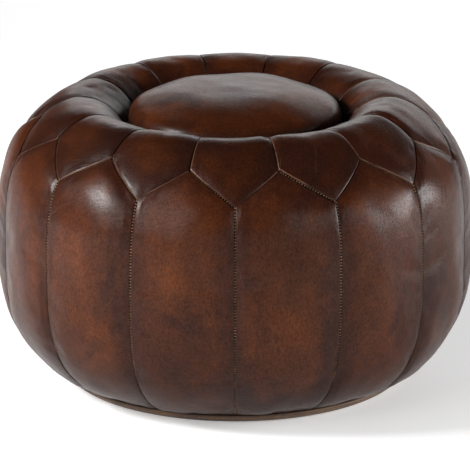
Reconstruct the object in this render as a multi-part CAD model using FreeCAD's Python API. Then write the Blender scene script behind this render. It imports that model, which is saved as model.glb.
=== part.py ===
"""Round stuffed leather pouf: a sewn cover of petals and side panels, its zip, and the stuffed bag inside.

Frame: millimetres, +Z up, origin on the floor under the middle of the base, and the front at -Y.
Every leather piece is a shallow tray: a face, and edges turned in for the seams. Neighbouring
turned edges lie face to face, and the sewing thread runs over the joint. The zip lies across the
base along X, up in a shallow recess, so that the pouf stands on the flat of its base.
"""

import FreeCAD, Part

import math
import os

from FreeCAD import Placement, Rotation, Vector

# Cover, overall
overall_diameter = 640.0
overall_height = 400.0
panel_count = 14
leather_thickness = 1.6
turned_edge_depth = 6.0

# Ring of petals, from the groove round the centre disc out to the tips
groove_radius = 144.0
groove_depth = 44.0
lip_inset = 13.0
lip_drop = 22.0
notch_inset = 57.0
notch_drop = 24.0
tip_inset = 20.0
tip_drop = 63.0
seam_focus_height = 120.0

# Centre disc
crown_rise = 14.0
disc_edge_drop = 36.0
disc_shoulder_drop = 17.0
disc_shoulder_inset = 20.0
disc_edge_clearance = 0.3

# Side panels
bilge_height = 202.0
low_side_inset = 4.0
low_side_height = 122.0
foot_inset = 27.0
foot_height = 61.0
heel_inset = 69.0
heel_height = 20.0
rim_inset = 84.0
rim_height = 11.0

# Base
base_flat_inset = 16.0

# Zip recess in the base: its mouth at the floor, its roof above
recess_mouth_length = 396.0
recess_mouth_width = 52.0
recess_roof_length = 384.0
recess_roof_width = 36.0
recess_depth = 7.0
zip_slot_length = 340.0
zip_slot_width = 13.0

# Zip
tape_thickness = 0.6
tape_width = 13.0
tape_end_overlap = 8.0
coil_height = 2.4
coil_width = 2.4
coil_gap = 1.8
coil_end_margin = 5.0
stop_length = 3.0
stop_clearance = 0.2
slider_length = 14.0
slider_plate = 1.2
slider_clearance = 0.4
slider_wall = 1.2
slider_post_length = 3.0
slider_post_width = 1.0
slider_park_gap = 4.0
ear_thickness = 1.0
ear_radius = 1.4
ear_gap = 4.0
hinge_drop = 1.6
pin_radius = 0.6
pin_clearance = 0.05
barrel_radius = 1.1
barrel_clearance = 0.2
pull_neck_length = 4.0
pull_width = 7.0
pull_length = 38.0
pull_thickness = 1.2
pull_hole_radius = 1.5
pull_floor_gap = 0.1

# Sewing thread, laid over the seams
thread_height = 0.6
thread_width = 1.0
thread_lift = 0.05
thread_end_gap = 1.5
rim_thread_setback = 3.0
zip_thread_inset = 3.0

# Bag of stuffing
bag_clearance = 0.5
bag_thickness = 0.8
stuffing_clearance = 0.3
bag_top_seam_drop = 8.7
bag_side_foot = 24.0
bag_recess_clearance = 1.2

# Derived sizes
pitch = 360.0 / panel_count
half_pitch = pitch / 2.0
bilge_radius = overall_diameter / 2.0
ridge_height = overall_height - crown_rise
groove_height = ridge_height - groove_depth
notch_radius = bilge_radius - notch_inset
notch_height = ridge_height - notch_drop
tip_radius = bilge_radius - tip_inset
tip_height = ridge_height - tip_drop
ridge_radius = (groove_radius + notch_radius) / 2.0
rim_radius = bilge_radius - rim_inset
flat_radius = rim_radius - base_flat_inset
disc_radius = groove_radius - disc_edge_clearance
bag_offset = turned_edge_depth + bag_clearance
stuffing_offset = bag_offset + bag_thickness + stuffing_clearance

# Heights in the zip, from the recess's roof upwards
roof_top = recess_depth + leather_thickness
tape_top = roof_top + tape_thickness
coil_foot = roof_top - coil_height
outer_plate_top = coil_foot - slider_clearance
outer_plate_foot = outer_plate_top - slider_plate
inner_plate_foot = tape_top + slider_clearance
inner_plate_top = inner_plate_foot + slider_plate
hinge_height = outer_plate_foot - hinge_drop
coil_half_length = zip_slot_length / 2.0 - coil_end_margin
slider_park = coil_half_length - slider_length / 2.0 - slider_park_gap
pull_rest_drop = hinge_height - pull_thickness / 2.0 - pull_floor_gap
pull_rest_angle = math.degrees(math.asin(pull_rest_drop / pull_length))

up = Vector(0, 0, 1)
profile_samples = 60
reach = 2.0 * overall_diameter


def point(radius, height):
    """A point in the XZ plane, where every profile is drawn."""
    return Vector(radius, 0, height)


def around(shape, degrees):
    """A copy of the shape turned about the pouf's axis."""
    turned = shape.copy()
    turned.rotate(Vector(0, 0, 0), up, degrees)
    return turned


def to_front(shape, degrees=0.0):
    """Profiles lie along +X; this turns a shape to the front, -Y, and on by some degrees."""
    return around(shape, degrees - 90.0)


landmarks = {
    "groove": point(groove_radius, groove_height),
    "lip": point(groove_radius + lip_inset, ridge_height - lip_drop),
    "ridge": point(ridge_radius, ridge_height),
    "notch": point(notch_radius, notch_height),
    "tip": point(tip_radius, tip_height),
    "bilge": point(bilge_radius, bilge_height),
    "low_side": point(bilge_radius - low_side_inset, low_side_height),
    "foot": point(bilge_radius - foot_inset, foot_height),
    "heel": point(bilge_radius - heel_inset, heel_height),
    "rim": point(rim_radius, rim_height),
}
skin = Part.BSplineCurve()
skin.interpolate(list(landmarks.values()))


def place_on_skin(name):
    """The skin curve's parameter at a landmark."""
    return skin.parameter(landmarks[name])


def point_under(curve, parameter, depth):
    """A point at some depth under a profile curve; a negative depth is above it."""
    along = curve.tangent(parameter)[0]
    outwards = Vector(-along.z, 0, along.x).normalize()
    return curve.value(parameter) - outwards * depth


def edge_under(curve, first, last, depth):
    """The stretch of a profile curve between two parameters, moved in by depth."""
    steps = [first + (last - first) * i / profile_samples for i in range(profile_samples + 1)]
    moved = Part.BSplineCurve()
    moved.interpolate([point_under(curve, step, depth) for step in steps])
    return moved.toShape()


def line(start, end):
    return Part.LineSegment(start, end).toShape()


def band_face(first, last, outer_depth, inner_depth):
    """A face in the XZ plane between two depths under the skin."""
    return Part.Face(
        Part.Wire(
            [
                edge_under(skin, first, last, outer_depth),
                line(point_under(skin, last, outer_depth), point_under(skin, last, inner_depth)),
                edge_under(skin, last, first, inner_depth),
                line(point_under(skin, first, inner_depth), point_under(skin, first, outer_depth)),
            ]
        )
    )


def half_space(on_plane, normal):
    """A huge block on the side of a plane that its normal points to."""
    block = Part.makeBox(2 * reach, 2 * reach, reach, Vector(-reach, -reach, 0))
    block.Placement = Placement(on_plane, Rotation(up, normal))
    return block


def at_angle(landmark, degrees):
    """A landmark turned to some degrees from the +X direction."""
    return Rotation(up, degrees).multVec(landmarks[landmark])


def slanted_seam(notch_degrees, tip_degrees):
    """A point on the slanted seam's plane, and the plane's normal, pointing up to the petal."""
    focus = point(0, seam_focus_height)
    notch = at_angle("notch", notch_degrees)
    tip = at_angle("tip", tip_degrees)
    normal = (notch - focus).cross(tip - focus).normalize()
    return focus, normal if normal.z > 0 else normal * -1


def wedge(first, last, outer_depth, inner_depth):
    """A layer of the pouf a little wider than one panel, centred on +X."""
    spare = 2.0
    face = around(band_face(first, last, outer_depth, inner_depth), -half_pitch - spare)
    return face.revolve(Vector(0, 0, 0), up, pitch + 2 * spare)


def between_seams(layer, inset):
    """Cuts a layer back to one panel's two straight seams, with an inset from each."""
    for side in (-1, 1):
        normal = Rotation(up, side * half_pitch).multVec(Vector(0, -side, 0))
        layer = layer.common(half_space(normal * inset, normal))
    return layer


def petal_block(outer_depth, inner_depth, inset):
    """The room of one petal between two depths, with its edges set in."""
    first = place_on_skin("groove")
    last = (place_on_skin("tip") + place_on_skin("bilge")) / 2.0
    block = between_seams(wedge(first, last, outer_depth, inner_depth), inset)
    for side in (-1, 1):
        focus, normal = slanted_seam(side * half_pitch, 0.0)
        block = block.common(half_space(focus + normal * inset, normal))
    return block


def side_block(outer_depth, inner_depth, inset):
    """The room of one side panel between two depths, with its edges set in."""
    first = (place_on_skin("ridge") + place_on_skin("notch")) / 2.0
    last = skin.parameterAtDistance(-inset, place_on_skin("rim"))
    block = between_seams(wedge(first, last, outer_depth, inner_depth), inset)
    for side in (-1, 1):
        focus, normal = slanted_seam(0.0, side * half_pitch)
        block = block.common(half_space(focus - normal * inset, normal * -1))
    return block


def tray(block):
    """A leather piece: the block's face and turned edges, hollowed from behind."""
    hollow = block(leather_thickness, turned_edge_depth + leather_thickness, leather_thickness)
    return block(0.0, turned_edge_depth, 0.0).cut(hollow)


def disc_profile(inset):
    """Edges of the centre disc, set in: over the dome from its axis and down its turned edge."""
    dome = Part.BSplineCurve()
    dome.interpolate(
        Points=[
            point(0, overall_height),
            point(disc_radius - disc_shoulder_inset, overall_height - disc_shoulder_drop),
            point(disc_radius, overall_height - disc_edge_drop),
        ],
        InitialTangent=point(disc_radius, 0),
        FinalTangent=point(0, -disc_edge_drop),
    )
    edge = point(disc_radius - inset, overall_height - disc_edge_drop)
    foot = point(disc_radius - inset, groove_height)
    over = edge_under(dome, dome.FirstParameter, dome.LastParameter, inset)
    return [over, line(edge, foot)], point(0, overall_height - inset), foot


def centre_disc():
    """The round top piece: a crowned face whose edge is turned straight down into the groove."""
    outer, outer_crown, outer_foot = disc_profile(0.0)
    inner, inner_crown, inner_foot = disc_profile(leather_thickness)
    ends = [line(outer_crown, inner_crown), line(outer_foot, inner_foot)]
    face = Part.Face(Part.Wire(Part.__sortEdges__(outer + inner + ends)))
    return face.revolve(Vector(0, 0, 0), up, 360)


def corner_radius():
    """Radius of the base's turned-up rim, which runs tangent into the flat."""
    return (base_flat_inset**2 + rim_height**2) / (2.0 * rim_height)


def base_corner(depth, setback=0.0):
    """Centre, start angle and end angle (radians from straight down) of the base's rim arc."""
    centre = point(flat_radius, corner_radius())
    end = math.asin(base_flat_inset / corner_radius()) - setback / corner_radius()
    radius = corner_radius() - depth
    start = centre - point(0, radius)
    middle = centre + point(math.sin(end / 2), -math.cos(end / 2)) * radius
    finish = centre + point(math.sin(end), -math.cos(end)) * radius
    return start, middle, finish


def base_sheet():
    """The base as one dished disc with its rim turned in, before the zip recess."""
    low, low_middle, rim = base_corner(0.0)
    high, high_middle, rim_inside = base_corner(leather_thickness)
    face = Part.Face(
        Part.Wire(
            [
                line(point(0, 0), low),
                Part.Arc(low, low_middle, rim).toShape(),
                line(rim, rim_inside),
                Part.Arc(rim_inside, high_middle, high).toShape(),
                line(high, point(0, leather_thickness)),
                line(point(0, leather_thickness), point(0, 0)),
            ]
        )
    )
    sheet = face.revolve(Vector(0, 0, 0), up, 360)
    return sheet.fuse(rim_flange()).removeSplitter()


def rim_flange():
    """The base's turned-in edge, which lies against the foot of the side panels."""
    parameter = place_on_skin("rim")
    along = skin.tangent(parameter)[0].normalize()
    rim = landmarks["rim"]
    inside = point_under(skin, parameter, turned_edge_depth)
    corners = [
        rim,
        inside,
        inside + along * leather_thickness,
        rim + along * leather_thickness,
    ]
    face = Part.Face(Part.makePolygon(corners + [rim]))
    return face.revolve(Vector(0, 0, 0), up, 360)


def rectangle(length, width, height):
    """A rectangular wire about the Z axis at some height."""
    x, y = length / 2.0, width / 2.0
    corners = [Vector(-x, -y, height), Vector(x, -y, height), Vector(x, y, height), Vector(-x, y, height)]
    return Part.makePolygon(corners + corners[:1])


def recess_block(grow, top):
    """The tapered room of the zip recess, grown sideways, from under the floor up to a height."""
    mouth = rectangle(recess_mouth_length + 2 * grow, recess_mouth_width + 2 * grow, 0)
    roof = rectangle(recess_roof_length + 2 * grow, recess_roof_width + 2 * grow, top)
    return Part.makeLoft([mouth, roof], True, True)


def centred_box(length, width, low, high, x=0.0, y=0.0):
    """A box with its middle at x and y, between two heights."""
    corner = Vector(x - length / 2.0, y - width / 2.0, low)
    return Part.makeBox(length, width, high - low, corner)


def base_halves():
    """The two halves of the base, which meet along X at the ends of the zip."""
    sheet = base_sheet().cut(recess_block(0.0, recess_depth))
    pan = recess_block(leather_thickness, roof_top).cut(recess_block(0.0, recess_depth))
    slot = centred_box(zip_slot_length, zip_slot_width, 0, 2 * roof_top)
    base = sheet.fuse(pan).cut(slot)
    front = base.common(half_space(Vector(0, 0, 0), Vector(0, -1, 0)))
    back = base.common(half_space(Vector(0, 0, 0), Vector(0, 1, 0)))
    return front, back


def both_sides(shape):
    """The shape and its mirror image across the zip."""
    return shape, shape.mirror(Vector(0, 0, 0), Vector(0, 1, 0))


def zip_tapes():
    """The two woven tapes, which overlap the slot's edges from inside."""
    length = zip_slot_length + 2 * tape_end_overlap
    middle = -(coil_gap + tape_width) / 2.0
    return both_sides(centred_box(length, tape_width, roof_top, tape_top, y=middle))


def zip_coils():
    """The two rows of teeth, plain bars with rounded outer corners, under the tapes' edges."""
    middle = -(coil_gap + coil_width) / 2.0
    bar = centred_box(2 * coil_half_length, coil_width, coil_foot, roof_top, y=middle)
    low_edges = [
        edge
        for edge in bar.Edges
        if abs(edge.CenterOfMass.z - coil_foot) < 1e-6 and abs(edge.CenterOfMass.x) < 1e-6
    ]
    return both_sides(bar.makeFillet(coil_width / 3.0, low_edges))


def closed_end_stop():
    """The clip that holds both rows together where the closed zip ends."""
    middle = coil_half_length + stop_clearance + stop_length / 2.0
    return centred_box(stop_length, coil_gap + 2 * coil_width, coil_foot, roof_top, x=middle)


def open_end_stops():
    """One clip on the end of each row where the zip opens."""
    x = -(coil_half_length + stop_clearance + stop_length / 2.0)
    y = -(coil_gap + coil_width) / 2.0
    clip = centred_box(stop_length, coil_width, coil_foot, roof_top, x=x, y=y)
    return Part.makeCompound(list(both_sides(clip)))


def zip_slider():
    """Two plates joined by a post, with walls round the teeth and two ears for the pull."""
    inside_width = coil_gap + 2 * coil_width + 2 * slider_clearance
    width = inside_width + 2 * slider_wall
    outer = centred_box(slider_length, width, outer_plate_foot, outer_plate_top, x=slider_park)
    inner = centred_box(slider_length, width, inner_plate_foot, inner_plate_top, x=slider_park)
    post = centred_box(
        slider_post_length, slider_post_width, outer_plate_foot, inner_plate_top, x=slider_park
    )
    wall_top = roof_top - slider_clearance
    wall_y = (inside_width + slider_wall) / 2.0
    wall = centred_box(
        slider_length, slider_wall, outer_plate_foot, wall_top, x=slider_park, y=wall_y
    )
    ear_y = (ear_gap + ear_thickness) / 2.0
    pieces = [inner, post, *both_sides(wall), *both_sides(slider_ear(ear_y))]
    body = outer.multiFuse(pieces)
    hole = hinge_cylinder(pin_radius + pin_clearance, ear_gap + 4 * ear_thickness)
    return body.cut(hole).removeSplitter()


def slider_ear(y):
    """One ear: a round end about the hinge, joined up to the outer plate."""
    disc = hinge_cylinder(ear_radius, ear_thickness, y)
    neck = centred_box(
        2 * ear_radius, ear_thickness, hinge_height, outer_plate_top, x=slider_park, y=y
    )
    return disc.fuse(neck)


def hinge_cylinder(radius, length, y=0.0):
    """A cylinder about the pull's hinge line, with its middle at y."""
    start = Vector(slider_park, y - length / 2.0, hinge_height)
    return Part.makeCylinder(radius, length, start, Vector(0, 1, 0))


def zip_pull():
    """The pull: a barrel and pin between the ears, a neck, and a rounded plate with a hole.

    It is drawn level and then dropped about its pin until its tip rests on the floor.
    """
    barrel_length = ear_gap - 2 * barrel_clearance
    pin = hinge_cylinder(pin_radius, ear_gap + 2 * ear_thickness)
    barrel = hinge_cylinder(barrel_radius, barrel_length)
    low = hinge_height - pull_thickness / 2.0
    high = hinge_height + pull_thickness / 2.0
    neck = centred_box(
        pull_neck_length, barrel_length, low, high, x=slider_park - pull_neck_length / 2.0
    )
    end_radius = pull_width / 2.0
    end_x = slider_park - pull_length + end_radius
    plate_length = pull_length - pull_neck_length - end_radius + 1.0
    plate = centred_box(plate_length, pull_width, low, high, x=end_x + plate_length / 2.0)
    tip = Part.makeCylinder(end_radius, high - low, Vector(end_x, 0, low))
    hole = Part.makeCylinder(pull_hole_radius, high - low, Vector(end_x, 0, low))
    pull = barrel.multiFuse([pin, neck, plate, tip]).cut(hole).removeSplitter()
    pull.rotate(Vector(slider_park, 0, hinge_height), Vector(0, -1, 0), pull_rest_angle)
    return pull


def straight_thread(start, end):
    """The thread over one straight seam between two parameters, lying in the XZ plane."""
    face = band_face(start, end, -thread_lift - thread_height, -thread_lift)
    face.translate(Vector(0, -thread_width / 2.0, 0))
    return face.extrude(Vector(0, thread_width, 0))


def thread_ends(first, last):
    """Parameters a little inside a stretch between two landmarks, so that threads don't touch."""
    start = skin.parameterAtDistance(thread_end_gap, place_on_skin(first))
    end = skin.parameterAtDistance(-thread_end_gap, place_on_skin(last))
    return start, end


def petal_seam_thread():
    """Threads over the straight seams between the petals."""
    # The inner end stops at the lip, where the seam sinks into the groove.
    thread = straight_thread(*thread_ends("lip", "notch"))
    return Part.makeCompound([to_front(thread, half_pitch + pitch * i) for i in range(panel_count)])


def side_seam_thread():
    """Threads over the upright seams between the side panels."""
    thread = straight_thread(*thread_ends("tip", "rim"))
    return Part.makeCompound([to_front(thread, pitch * i) for i in range(panel_count)])


def slanted_seam_thread():
    """Threads over the zigzag of slanted seams between petals and side panels."""
    first = (place_on_skin("ridge") + place_on_skin("notch")) / 2.0
    last = (place_on_skin("tip") + place_on_skin("bilge")) / 2.0
    layer = wedge(first, last, -thread_lift - thread_height, -thread_lift)
    focus, normal = slanted_seam(half_pitch, 0.0)
    half = thread_width / 2.0
    strip = layer.common(half_space(focus - normal * half, normal))
    strip = strip.common(half_space(focus + normal * half, normal * -1))
    straight = Vector(0, 1, 0)
    strip = strip.common(half_space(straight * thread_end_gap, straight))
    side = Rotation(up, half_pitch).multVec(straight * -1)
    strip = strip.common(half_space(side * thread_end_gap, side))
    other = strip.mirror(Vector(0, 0, 0), straight)
    return Part.makeCompound(
        [to_front(piece, pitch * i) for i in range(panel_count) for piece in (strip, other)]
    )


def groove_thread():
    """The ring of thread under the groove, which holds the disc's edge to the petals'."""
    top = groove_height - leather_thickness - thread_lift
    face = Part.makePolygon(
        [
            point(groove_radius - leather_thickness, top),
            point(groove_radius + leather_thickness, top),
            point(groove_radius + leather_thickness, top - thread_height),
            point(groove_radius - leather_thickness, top - thread_height),
            point(groove_radius - leather_thickness, top),
        ]
    )
    return Part.Face(face).revolve(Vector(0, 0, 0), up, 360)


def rim_thread():
    """The ring of topstitching on the base's turned-up rim."""
    setbacks = (rim_thread_setback, rim_thread_setback - thread_width)
    ends = [[base_corner(-lift, setback)[2] for setback in setbacks]
            for lift in (thread_lift, thread_lift + thread_height)]
    corners = [ends[0][0], ends[0][1], ends[1][1], ends[1][0], ends[0][0]]
    return Part.Face(Part.makePolygon(corners)).revolve(Vector(0, 0, 0), up, 360)


def zip_thread():
    """Two rows of thread that hold the tapes to the roof of the recess."""
    y = -(zip_slot_width / 2.0 + zip_thread_inset)
    top = recess_depth - thread_lift
    row = centred_box(zip_slot_length, thread_width, top - thread_height, top, y=y)
    return Part.makeCompound(list(both_sides(row)))


def bag_block(offset):
    """The room inside the cover, some millimetres in from the leather's outer face."""
    first, last = place_on_skin("groove"), place_on_skin("rim")
    outer = edge_under(skin, first, last, offset)
    groove_end = point_under(skin, first, offset)
    rim_end = point_under(skin, last, offset)
    under_groove = groove_height - offset
    dome, crown, disc_foot = disc_profile(offset)
    edges = dome + [
        line(disc_foot, point(disc_foot.x, under_groove)),
        line(point(disc_foot.x, under_groove), point(groove_end.x, under_groove)),
        line(point(groove_end.x, under_groove), groove_end),
        outer,
        line(rim_end, point(flat_radius, offset)),
        line(point(flat_radius, offset), point(0, offset)),
        line(point(0, offset), crown),
    ]
    face = Part.Face(Part.Wire(Part.__sortEdges__(edges)))
    return face.revolve(Vector(0, 0, 0), up, 360)


def zip_room(clearance):
    """What the bag leaves free for the recess and the zip's slider."""
    return recess_block(leather_thickness + clearance, inner_plate_top + clearance)


def stuffing():
    """The filling, shaped by the bag that holds it."""
    clearance = bag_recess_clearance + bag_thickness + stuffing_clearance
    return bag_block(stuffing_offset).cut(zip_room(clearance))


def bag_pieces():
    """The cotton bag's base, side and top, each cut from one shell."""
    outside = bag_block(bag_offset).cut(zip_room(bag_recess_clearance))
    inside = bag_block(bag_offset + bag_thickness).cut(zip_room(bag_recess_clearance + bag_thickness))
    shell = outside.cut(inside)
    bag_groove = groove_height - bag_offset - bag_thickness
    top_level = point(0, bag_groove - bag_top_seam_drop)
    foot_level = point(0, bag_side_foot)
    return {
        "inner_bag_base": shell.common(half_space(foot_level, up * -1)),
        "inner_bag_side": shell.common(half_space(foot_level, up)).common(
            half_space(top_level, up * -1)
        ),
        "inner_bag_top": shell.common(half_space(top_level, up)),
    }


def all_nodes():
    """Every node's name and shape."""
    petal = tray(petal_block)
    side_panel = tray(side_block)
    base_front, base_back = base_halves()
    tape_front, tape_back = zip_tapes()
    coil_front, coil_back = zip_coils()
    nodes = {
        "centre_disc": centre_disc(),
        "base_half_front": base_front,
        "base_half_back": base_back,
        "zip_tape_front": tape_front,
        "zip_tape_back": tape_back,
        "zip_coil_front": coil_front,
        "zip_coil_back": coil_back,
        "zip_closed_end_stop": closed_end_stop(),
        "zip_open_end_stops": open_end_stops(),
        "zip_slider": zip_slider(),
        "zip_pull": zip_pull(),
        "petal_seam_thread": petal_seam_thread(),
        "slanted_seam_thread": slanted_seam_thread(),
        "side_seam_thread": side_seam_thread(),
        "groove_seam_thread": groove_thread(),
        "base_rim_thread": rim_thread(),
        "zip_thread": zip_thread(),
        "stuffing": stuffing(),
        **bag_pieces(),
    }
    for i in range(panel_count):
        nodes[f"petal_{i + 1:02d}"] = to_front(petal, pitch * i)
        nodes[f"side_panel_{i + 1:02d}"] = to_front(side_panel, half_pitch + pitch * i)
    return nodes


os.makedirs("parts", exist_ok=True)
for name, shape in all_nodes().items():
    shape.exportStep(f"parts/{name}.step")
    solids = len(shape.Solids)
    print(f"{name}: {solids} solid(s), {shape.Volume / 1000.0:.1f} cm3, valid {shape.isValid()}")
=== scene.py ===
import math

import bmesh
import bpy
import numpy as np
from mathutils import Matrix, Vector


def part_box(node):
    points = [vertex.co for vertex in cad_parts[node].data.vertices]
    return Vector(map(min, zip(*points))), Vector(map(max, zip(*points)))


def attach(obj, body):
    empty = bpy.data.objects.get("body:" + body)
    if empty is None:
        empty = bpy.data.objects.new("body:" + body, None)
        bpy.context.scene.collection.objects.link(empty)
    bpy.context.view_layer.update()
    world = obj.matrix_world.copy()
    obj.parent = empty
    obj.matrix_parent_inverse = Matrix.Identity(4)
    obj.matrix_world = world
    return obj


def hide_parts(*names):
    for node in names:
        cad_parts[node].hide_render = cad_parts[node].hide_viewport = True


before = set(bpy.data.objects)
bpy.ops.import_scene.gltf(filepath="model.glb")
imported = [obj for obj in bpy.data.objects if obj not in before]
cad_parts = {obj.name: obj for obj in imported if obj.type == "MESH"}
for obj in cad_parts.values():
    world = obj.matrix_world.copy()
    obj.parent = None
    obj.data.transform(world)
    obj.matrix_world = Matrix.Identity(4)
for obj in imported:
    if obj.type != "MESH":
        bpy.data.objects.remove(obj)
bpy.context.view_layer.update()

# Everything is in metres, in the pouf's own frame: +Z up, the front at -Y, the floor at z = 0.
MM = 0.001
PANELS = 14
PITCH = 2 * math.pi / PANELS
BODY = "pouf"

# ---------------------------------------------------------------- sizes read from the frame

disc_low, disc_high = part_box("centre_disc")
bilge_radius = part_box("side_panel_04")[1][0]  # this panel faces +X
rim_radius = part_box("base_half_back")[1][0]
slot_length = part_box("zip_thread")[1][0]
tape_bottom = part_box("zip_tape_front")[0][2]
ridge_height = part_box("petal_01")[1][2]
top_height = disc_high[2]
disc_radius = disc_high[0]
groove_radius = disc_radius + 0.3 * MM
groove_height = disc_low[2]

# The outline's landmarks as (radius, height), from the groove over the ridge down to the base's rim
RIDGE_FULLNESS = 3.5 * MM
WIDEST_HEIGHT = 202 * MM
tip = (bilge_radius - 20 * MM, ridge_height - 63 * MM)
notch = (bilge_radius - 57 * MM, ridge_height - 24 * MM)
outline_points = [
    (groove_radius, groove_height),
    (groove_radius + 13 * MM, ridge_height - 22 * MM),
    ((groove_radius + notch[0]) / 2 + 6 * MM, ridge_height + RIDGE_FULLNESS),
    notch,
    tip,
    (bilge_radius, WIDEST_HEIGHT),
    (bilge_radius - 4 * MM, 122 * MM),
    (bilge_radius - 27 * MM, 61 * MM),
    (bilge_radius - 69 * MM, 20 * MM),
    (rim_radius, 11 * MM),
]

LEATHER = 1.6 * MM
COTTON = 0.8 * MM
TURNED_EDGE = 4.0 * MM
STITCH_PITCH = 4.0 * MM


# ---------------------------------------------------------------- the outline and places on it


class Outline:
    """A smooth curve through (radius, height) points, read by distance along it."""

    def __init__(self, points, samples=1500):
        points = np.array(points, float)
        steps = np.linalg.norm(np.diff(points, axis=0), axis=1)
        knots = np.concatenate([[0], np.cumsum(steps)])
        fine = np.linspace(0, knots[-1], samples)
        line = np.stack([self._spline(knots, points[:, i], fine) for i in (0, 1)], axis=1)
        lengths = np.linalg.norm(np.diff(line, axis=0), axis=1)
        self.length_at = np.concatenate([[0], np.cumsum(lengths)])
        self.line = line
        slope = np.gradient(line, axis=0)
        slope /= np.linalg.norm(slope, axis=1, keepdims=True)
        self.normal = np.stack([-slope[:, 1], slope[:, 0]], axis=1)
        if self.normal[samples // 2] @ line[samples // 2] < 0:
            self.normal = -self.normal
        self.total = self.length_at[-1]

    @staticmethod
    def _spline(knots, values, at):
        """A natural cubic spline through the values at the knots."""
        h = np.diff(knots)
        n = len(knots)
        system = np.eye(n)
        right = np.zeros(n)
        for i in range(1, n - 1):
            system[i, i - 1 : i + 2] = h[i - 1], 2 * (h[i - 1] + h[i]), h[i]
            right[i] = 6 * ((values[i + 1] - values[i]) / h[i] - (values[i] - values[i - 1]) / h[i - 1])
        bend = np.linalg.solve(system, right)
        i = np.clip(np.searchsorted(knots, at) - 1, 0, n - 2)
        a, b = knots[i + 1] - at, at - knots[i]
        return (
            (bend[i] * a**3 + bend[i + 1] * b**3) / (6 * h[i])
            + (values[i] / h[i] - bend[i] * h[i] / 6) * a
            + (values[i + 1] / h[i] - bend[i + 1] * h[i] / 6) * b
        )

    def nearest(self, point):
        """The distance along the outline of its nearest place to a (radius, height) point."""
        return self.length_at[np.argmin(np.linalg.norm(self.line - np.array(point), axis=1))]

    def radius(self, along):
        return np.interp(along, self.length_at, self.line[:, 0])

    def place(self, angle, along, depth=0.0):
        """Points in space: turned from the front by an angle, and sunk under the outline by a depth."""
        r, z = (np.interp(along, self.length_at, self.line[:, i]) for i in (0, 1))
        nr, nz = (np.interp(along, self.length_at, self.normal[:, i]) for i in (0, 1))
        r = r - nr * depth
        z = z - nz * depth
        return np.stack([r * np.sin(angle), -r * np.cos(angle), z], axis=-1)

    def outwards(self, angle, along):
        """Unit normals of the turned outline."""
        nr, nz = (np.interp(along, self.length_at, self.normal[:, i]) for i in (0, 1))
        return np.stack([nr * np.sin(angle), -nr * np.cos(angle), nz + 0 * angle], axis=-1)


cover = Outline(outline_points)
notch_along = cover.nearest(notch)
tip_along = cover.nearest(tip)

disc_outline = Outline(
    [
        (0.0, top_height),
        (0.30 * disc_radius, top_height - 1.1 * MM),
        (0.60 * disc_radius, top_height - 5.8 * MM),
        (0.86 * disc_radius, top_height - 17.0 * MM),
        (0.97 * disc_radius, top_height - 27.0 * MM),
        (disc_radius, top_height - 37.0 * MM),
        (disc_radius, groove_height + 0.5 * MM),
    ]
)

# ---------------------------------------------------------------- the hand of the maker

hand = np.random.default_rng(1407)


def uneven(size):
    """One small error for each of the fourteen seams."""
    return hand.uniform(-1, 1, PANELS) * size


# Seams on the +X side sit a little lower than on the -X side.
lean = 3.0 * MM * np.sin(np.arange(PANELS) * PITCH)
notch_lean = 3.0 * MM * np.sin((np.arange(PANELS) + 0.5) * PITCH)
tip_at = [np.arange(PANELS) * PITCH + uneven(0.008), tip_along + lean + uneven(2.0 * MM)]
notch_at = [
    (np.arange(PANELS) + 0.5) * PITCH + uneven(0.008),
    notch_along + notch_lean + uneven(1.6 * MM),
]
groove_angle = (np.arange(PANELS) + 0.5) * PITCH + uneven(0.010)
foot_angle = np.arange(PANELS) * PITCH + uneven(0.006)


def around_to(angle, reference):
    """The same direction, stated as the turn that is nearest to a reference angle."""
    return angle + 2 * math.pi * round((reference - angle) / (2 * math.pi))


def smooth_noise(at, spacing, seed):
    """A gentle random line, from -1 to 1, with a new value every spacing."""
    values = np.random.default_rng(seed).uniform(-1, 1, 400)
    place = at / spacing + 200
    i = np.clip(np.floor(place).astype(int), 0, 398)
    f = np.clip(place - i, 0, 1)
    f = f * f * (3 - 2 * f)
    return values[i] * (1 - f) + values[i + 1] * f


class Swell:
    """Gentle lumps through space, the same for every piece that they cross."""

    def __init__(self, wavelength, waves, seed):
        rng = np.random.default_rng(seed)
        direction = rng.normal(size=(waves, 3))
        direction /= np.linalg.norm(direction, axis=1, keepdims=True)
        self.wave = direction * (2 * math.pi / (wavelength * rng.uniform(0.7, 1.4, (waves, 1))))
        self.start = rng.uniform(0, 2 * math.pi, waves)
        self.share = 1 / math.sqrt(waves / 2)

    def at(self, points):
        return np.sin(points @ self.wave.T + self.start).sum(axis=-1) * self.share


lumps = Swell(110 * MM, 9, 3)
ripples = Swell(34 * MM, 14, 5)


def puckers(along, away, wavelength, reach, seed):
    """Creases square to a seam: hollows between round ridges, uneven, dying out away from it."""
    wander = smooth_noise(along, 3.1 * wavelength, seed) * 0.8 * wavelength
    ridge = np.abs(np.sin(math.pi * (along + wander) / wavelength)) - 0.64
    strength = np.clip(0.35 + 0.85 * smooth_noise(along, 4.3 * wavelength, seed + 1), 0.1, 1)
    length = reach * (1 + 0.55 * smooth_noise(along, 1.3 * wavelength, seed + 2))
    return ridge * strength * np.exp(-((np.maximum(away, 0) / length) ** 1.3))


def rolled(away, width, depth):
    """How far a panel's rounded edge sinks into the seam."""
    t = np.clip(1 - away / width, 0, 1)
    return depth * (1 - np.sqrt(1 - np.minimum(t, 0.9995) ** 2))


# ---------------------------------------------------------------- panels as grids

SIDE_SEAM_DEPTH = 3.0 * MM
RING_SEAM_DEPTH = 4.2 * MM


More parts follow.
